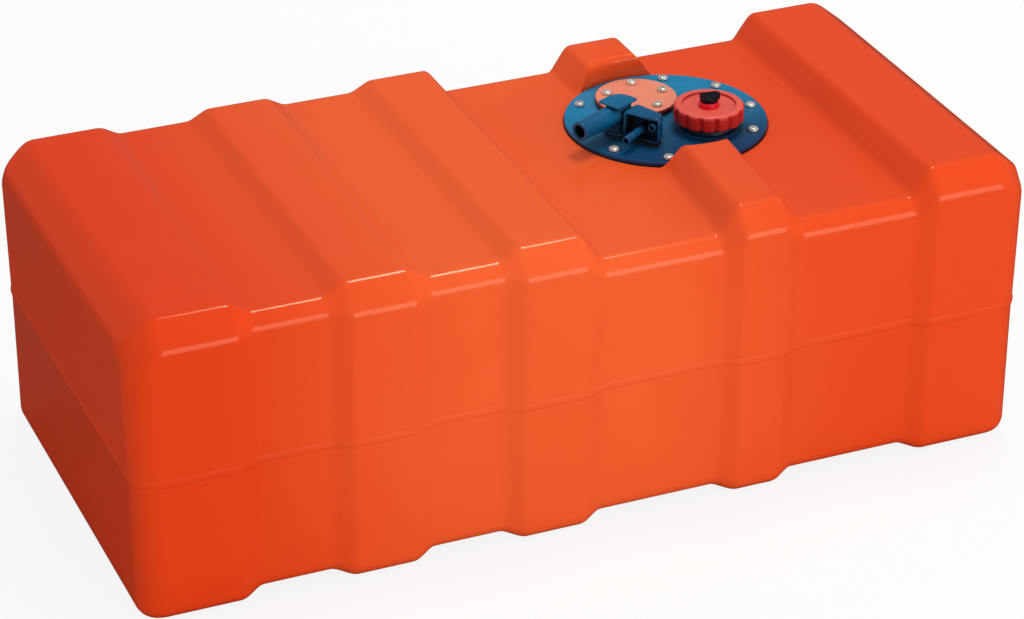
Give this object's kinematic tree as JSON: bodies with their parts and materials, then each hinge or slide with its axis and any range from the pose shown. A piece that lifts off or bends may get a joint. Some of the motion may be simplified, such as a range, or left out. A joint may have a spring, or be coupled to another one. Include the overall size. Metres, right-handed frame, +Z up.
{
  "type": "marine fuel tank",
  "caption": "Low moulded fuel tank with raised bands across it and a recessed round access plate that carries a vented filler cap, vent elbow and hooded hose outlets.",
  "frame": {"origin": "middle of the footprint, on the ground under the bands", "axes": "+X along the tank towards the end with the access plate, +Y across the tank, away from the long side that the picture shows, +Z up"},
  "size_m": [0.7446, 0.3536, 0.2634],
  "materials": {
    "tank_plastic": "moulded, satin",
    "plate_plastic": "moulded, semi-gloss",
    "cap_plastic": "moulded, semi-gloss",
    "knob_plastic": "moulded, semi-gloss",
    "gasket_rubber": "matt",
    "screw_steel": "bright stainless",
    "insert_brass": "plain",
    "nut_nylon": "natural nylon"
  },
  "bodies": {
    "tank": {"tank_body": "tank_plastic", "access_plate": "plate_plastic", "access_plate_gasket": "gasket_rubber", "plate_screw_01": "screw_steel", "plate_screw_02": "screw_steel", "plate_screw_03": "screw_steel", "plate_screw_04": "screw_steel", "plate_screw_05": "screw_steel", "plate_screw_06": "screw_steel", "plate_screw_07": "screw_steel", "plate_screw_08": "screw_steel", "plate_screw_09": "screw_steel", "plate_insert_01": "insert_brass", "plate_insert_02": "insert_brass", "plate_insert_03": "insert_brass", "plate_insert_04": "insert_brass", "plate_insert_05": "insert_brass", "plate_insert_06": "insert_brass", "plate_insert_07": "insert_brass", "plate_insert_08": "insert_brass", "plate_insert_09": "insert_brass", "sender_cover_gasket": "gasket_rubber", "sender_cover": "cap_plastic", "sender_cover_screw_1": "screw_steel", "sender_cover_screw_2": "screw_steel", "sender_cover_screw_3": "screw_steel", "sender_cover_screw_4": "screw_steel", "sender_cover_screw_5": "screw_steel", "vent_elbow_seal": "gasket_rubber", "vent_elbow": "plate_plastic", "vent_elbow_lid": "plate_plastic", "vent_elbow_nut": "nut_nylon", "outlet_housing_seal": "gasket_rubber", "outlet_housing": "plate_plastic", "outlet_housing_nut": "nut_nylon", "pickup_tube": "nut_nylon", "pickup_strainer": "nut_nylon"},
    "cap_seal": {"cap_seal": "gasket_rubber"},
    "filler_cap": {"filler_cap": "cap_plastic"},
    "vent_plug": {"vent_plug": "gasket_rubber"},
    "vent_knob": {"vent_knob": "knob_plastic"}
  },
  "joints": [
    {"name": "cap_lift", "type": "slide", "parent": "tank", "child": "cap_seal", "axis": [0, 0, 1], "range_m": [0, 0.008]},
    {"name": "cap_turn", "type": "hinge", "parent": "cap_seal", "child": "filler_cap", "pos_m": [0.1762, 0.0081, 0.2448], "axis": [0, 0, 1], "range_deg": [0, 720]},
    {"name": "vent_lift", "type": "slide", "parent": "filler_cap", "child": "vent_plug", "axis": [0, 0, 1], "range_m": [0, 0.002]},
    {"name": "vent_turn", "type": "hinge", "parent": "vent_plug", "child": "vent_knob", "pos_m": [0.1762, 0.0081, 0.2563], "axis": [0, 0, 1], "range_deg": [0, 360]}
  ],
  "couplings": [
    {"joint": "cap_turn", "follows": "cap_lift", "rad_per_m": 1570.8},
    {"joint": "vent_turn", "follows": "vent_lift", "rad_per_m": 3141.6}
  ]
}
